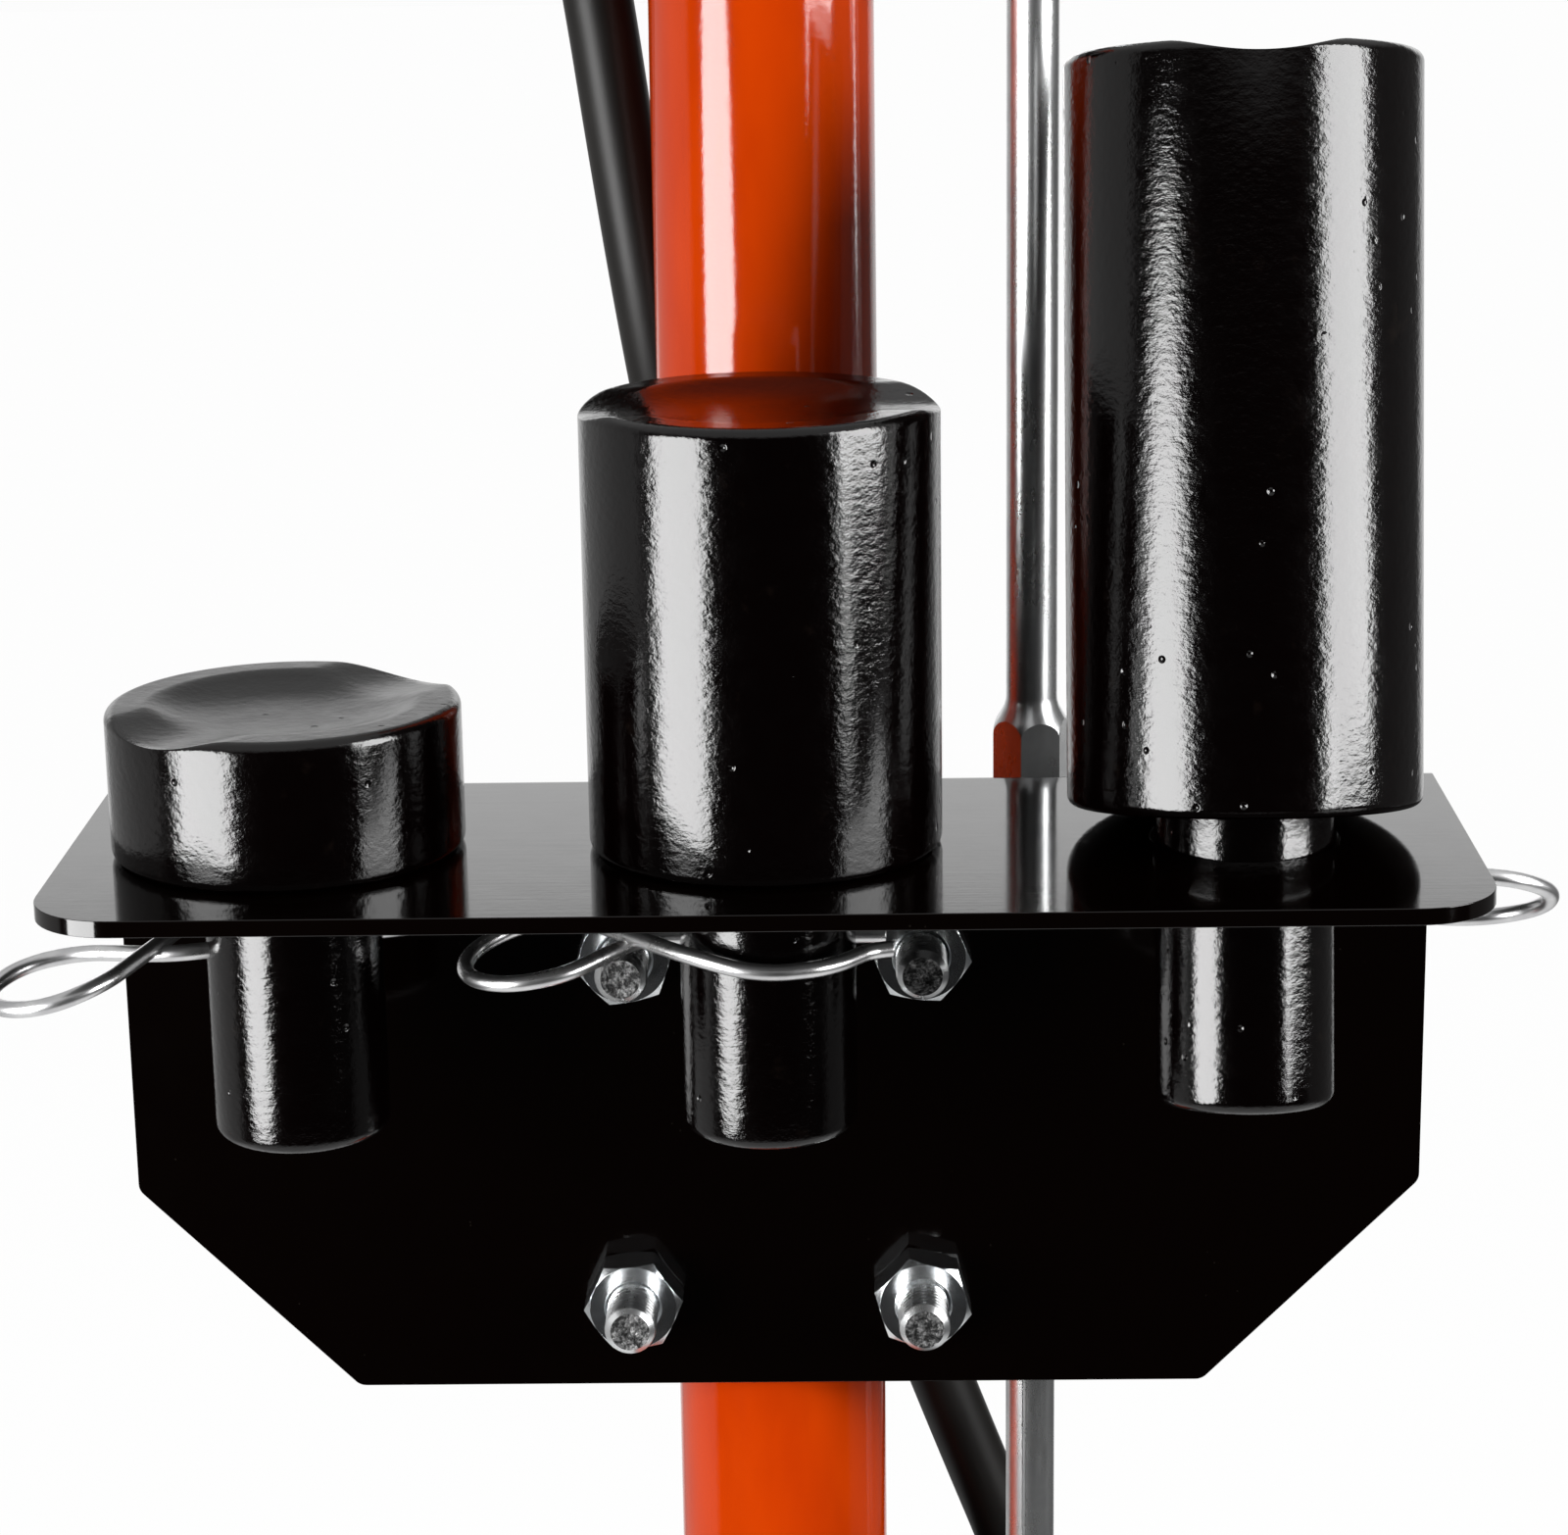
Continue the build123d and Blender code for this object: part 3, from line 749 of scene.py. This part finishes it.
def makeAdapter(name, setup):
    shape = adapterShape
    height, around = setup["height"], shape["around"]
    edge, bodyRadius = shape["edge"], shape["bodyRadius"]
    tilt = radians(setup["lean"])
    up, back = Vector((0, sin(tilt), cos(tilt))), Vector((0, cos(tilt), -sin(tilt)))
    right, foot = Vector((1, 0, 0)), Vector(setup["foot"])
    angles = [2 * pi * i / around for i in range(around)]
    turn = radians(setup["groove"])

    def put(radius, angle, z):
        return (foot + right * (radius * cos(angle)) + back * (radius * sin(angle)) + up * z) * mm

    def top(radius, angle):
        return adapterTop(shape, height, radius, radius * sin(angle - turn))

    rings = [[put(radius, angle, top(radius, angle)) for angle in angles] for radius in topRadii(shape)]
    for radius, z in lowerProfile(shape, height):
        share = max(0, (z - edge) / (height - 2 * edge)) if radius == bodyRadius else 0
        rings.append([
            put(radius, angle, z + (top(bodyRadius, angle) - (height - edge)) * share) for angle in angles
        ])
    verts = [put(0, 0, adapterTop(shape, height, 0, 0)), put(0, 0, -shape["shaftLength"])]
    for ring in rings:
        verts += ring
    faces = []
    last = 2 + around * (len(rings) - 1)
    for i in range(around):
        j = (i + 1) % around
        faces.append((0, 2 + i, 2 + j))
        faces.append((1, last + j, last + i))
        for k in range(len(rings) - 1):
            a = 2 + around * k
            faces.append((a + i, a + around + i, a + around + j, a + j))
    piece = newPiece(name + "_look", verts, faces, [castBlack])
    leg = radians(setup["leg"])
    along = right * cos(leg) + back * sin(leg)
    cutHole(piece, (foot - up * shape["crossDrop"]) * mm, along, shape["crossHole"])
    keepSharp(piece, shape["hardEdge"])

    # marks the top face, whose coat is duller
    marks = piece.data.attributes.new("top", "FLOAT", "POINT")
    for mark, vertex in zip(marks.data, piece.data.vertices):
        away = vertex.co / mm - foot
        radius = (away - up * away.dot(up)).length
        if away.dot(up) > height - shape["topBand"]:
            mark.value = min(1, max(0, (bodyRadius - radius) / edge)) * setup["dull"]
    finished(piece, name + "_body", name)


for adapterName, adapterSetup in adapters.items():
    makeAdapter(adapterName, adapterSetup)
print("adapters ready")


# sizes in millimetres
boltShape = {
    "legX": 28.5,
    "legEnd": -44.05,
    "backY": 26.35,
    "radius": 5.0,
    "bevel": 1.2,
    "threadFrom": -21.5,  # where the rolled thread starts, along Y
    "threadFade": 2.5,
    "pitch": 1.5,
    "threadDepth": 0.3,
    "tipRings": (0.86, 0.6, 0.3),  # rings of the sawn face, as shares of its radius
    "tipDent": 0.22,
    "tipWave": 0.05,
    "tipMiddle": 0.24,
    "hardEdge": 28,  # degrees
    "rowsPerTurn": 12,
    "bowRows": 48,
    "around": 48,
}
boltHeights = {"ubolt_upper": 191.3, "ubolt_lower": 119.6}


def boltRadii(shape, y, cap, fade, hand):
    # radii of one ring of the threaded end
    found = []
    for i in range(shape["around"]):
        phase = (y / shape["pitch"] + hand * i / shape["around"]) % 1
        ridge = min(1, abs(phase * 2 - 1) * 1.25)
        found.append(min(cap, shape["radius"] - shape["threadDepth"] * fade * (1 - ridge)))
    return found


def boltRows(shape, height):
    # (centre, direction across, radii) of every ring, from one tip to the other
    r, legX, bevel = shape["radius"], shape["legX"], shape["bevel"]
    bowY = shape["backY"] - legX
    run = shape["threadFrom"] - shape["legEnd"]
    count = int(run / (shape["pitch"] / shape["rowsPerTurn"]))
    threaded = []
    for i in range(count + 1):
        d = run * i / count
        fade = min(1, max(0, (run - d) / shape["threadFade"]))
        threaded.append((shape["legEnd"] + d, min(r, r - bevel + d), fade))
    right, left = Vector((1, 0, 0)), Vector((-1, 0, 0))
    plain = [r] * shape["around"]
    rows = []
    for y, cap, fade in threaded:
        rows.append((Vector((-legX, y, height)), right, boltRadii(shape, y, cap, fade, 1)))
    for y in spread(shape["threadFrom"], bowY, 4):
        rows.append((Vector((-legX, y, height)), right, plain))
    for a in spread(180, 0, shape["bowRows"])[:-1]:
        out = Vector((cos(radians(a)), sin(radians(a)), 0))
        rows.append((Vector((0, bowY, height)) + out * legX, -out, plain))
    for y in [bowY] + spread(bowY, shape["threadFrom"], 4)[:-1]:
        rows.append((Vector((legX, y, height)), left, plain))
    for y, cap, fade in reversed(threaded):
        rows.append((Vector((legX, y, height)), left, boltRadii(shape, y, cap, fade, -1)))
    return rows


def makeBolt(name, height):
    shape = boltShape
    around, up = shape["around"], Vector((0, 0, 1))
    angles = [2 * pi * i / around for i in range(around)]
    rows = boltRows(shape, height)
    verts, faces = [], []
    for centre, across, ring in rows:
        for a, radius in zip(angles, ring):
            verts.append((centre + (across * cos(a) + up * sin(a)) * radius) * mm)
    for k in range(len(rows) - 1):
        for i in range(around):
            j = (i + 1) % around
            a, b = k * around, (k + 1) * around
            faces.append((a + i, a + j, b + j, b + i))
    body = len(faces)
    # each tip: rings in to the middle, slightly uneven as sawn
    for first, centre, turn in ((0, rows[0][0], 1), ((len(rows) - 1) * around, rows[-1][0], -1)):
        across = Vector((1, 0, 0)) * turn
        before = list(range(first, first + around))
        for share in shape["tipRings"]:
            now = list(range(len(verts), len(verts) + around))
            radius = (shape["radius"] - shape["bevel"]) * share
            for a in angles:
                dent = (shape["tipDent"] + shape["tipWave"] * sin(5 * a + height)) * (1 - share)
                spot = centre + (across * cos(a) + up * sin(a)) * radius
                verts.append((spot + Vector((0, dent, 0))) * mm)
            faces += [(before[i], now[i], now[i - around + 1], before[i - around + 1]) for i in range(around)]
            before = now
        verts.append((centre + Vector((0, shape["tipMiddle"], 0))) * mm)
        faces += [(before[i], len(verts) - 1, before[i - around + 1]) for i in range(around)]
    piece = newPiece(name + "_look", verts, faces, [zinc, sawnEnd])
    for polygon in piece.data.polygons[body:]:
        polygon.material_index = 1
    facesOut(piece)
    keepSharp(piece, shape["hardEdge"])
    finished(piece, "handle", name)


for boltName, boltHeight in boltHeights.items():
    makeBolt(boltName, boltHeight)
print("bolts ready")


# sizes in millimetres
hose = {
    "radius": 6.75,
    "sides": 32,
    "steps": 24,  # between two points of the route
    "hardEdge": 50,  # degrees
    "route": [
        (-37.0, 12.8, 405.0), (-31.9, 14.6, 373.5), (-27.6, 16.6, 340.0), (-22.7, 19.6, 305.0),
        (-16.8, 26.5, 268.0), (-9.6, 34.0, 228.0), (-0.8, 39.6, 186.0), (9.7, 41.2, 144.0),
        (22.7, 40.8, 102.0), (37.1, 40.0, 63.0), (51.1, 39.2, 27.0), (62.3, 38.0, -4.0),
    ],
}


def makeSweepTree(material):
    # a round bar along the edges of a mesh, with named sizes
    tree = bpy.data.node_groups.new("bar_along_path", "GeometryNodeTree")
    for name, way, kind in (
        ("Geometry", "INPUT", "NodeSocketGeometry"), ("Radius", "INPUT", "NodeSocketFloat"),
        ("Sides", "INPUT", "NodeSocketInt"), ("Geometry", "OUTPUT", "NodeSocketGeometry"),
    ):
        tree.interface.new_socket(name, in_out=way, socket_type=kind)
    start, end, path, ring, sweep, smooth, real, paint = (
        tree.nodes.new(kind) for kind in (
            "NodeGroupInput", "NodeGroupOutput", "GeometryNodeMeshToCurve",
            "GeometryNodeCurvePrimitiveCircle", "GeometryNodeCurveToMesh", "GeometryNodeSetShadeSmooth",
            "GeometryNodeRealizeInstances", "GeometryNodeSetMaterial",
        )
    )
    sweep.inputs["Fill Caps"].default_value = True
    paint.inputs["Material"].default_value = material
    for source, target in (
        (start.outputs["Geometry"], path.inputs["Mesh"]),
        (start.outputs["Radius"], ring.inputs["Radius"]),
        (start.outputs["Sides"], ring.inputs["Resolution"]),
        (path.outputs["Curve"], sweep.inputs["Curve"]),
        (ring.outputs["Curve"], sweep.inputs["Profile Curve"]),
        (sweep.outputs["Mesh"], smooth.inputs["Geometry"]),
        (smooth.outputs["Geometry"], real.inputs["Geometry"]),
        (real.outputs["Geometry"], paint.inputs["Geometry"]),
        (paint.outputs["Geometry"], end.inputs["Geometry"]),
    ):
        tree.links.new(source, target)
    return tree


def routeMesh(points, steps):
    # the smooth middle line through the route, as edges
    curve = bpy.data.curves.new("hose_route", "CURVE")
    curve.dimensions = "3D"
    spline = curve.splines.new("NURBS")
    spline.points.add(len(points) - 1)
    for point, place in zip(spline.points, points):
        point.co = (*(Vector(place) * mm), 1)
    spline.order_u = 3
    spline.use_endpoint_u = True
    curve.resolution_u = steps
    route = bpy.data.objects.new("hose_route", curve)
    bpy.context.collection.objects.link(route)
    graph = bpy.context.evaluated_depsgraph_get()
    wire = bpy.data.meshes.new_from_object(route.evaluated_get(graph))
    bpy.data.objects.remove(route)
    bpy.data.curves.remove(curve)
    return wire


def makeHose():
    piece = bpy.data.objects.new("air_hose_look", routeMesh(hose["route"], hose["steps"]))
    bpy.context.collection.objects.link(piece)
    sweep = piece.modifiers.new("sweep", "NODES")
    sweep.node_group = makeSweepTree(rubber)
    sizes = {"Radius": hose["radius"] * mm, "Sides": hose["sides"]}
    for item in sweep.node_group.interface.items_tree:
        if item.in_out == "INPUT" and item.name in sizes:
            sweep[item.identifier] = sizes[item.name]
    settle(piece)
    facesOut(piece)
    keepSharp(piece, hose["hardEdge"])
    finished(piece, "handle", "air_hose")


makeHose()
print("hose ready")
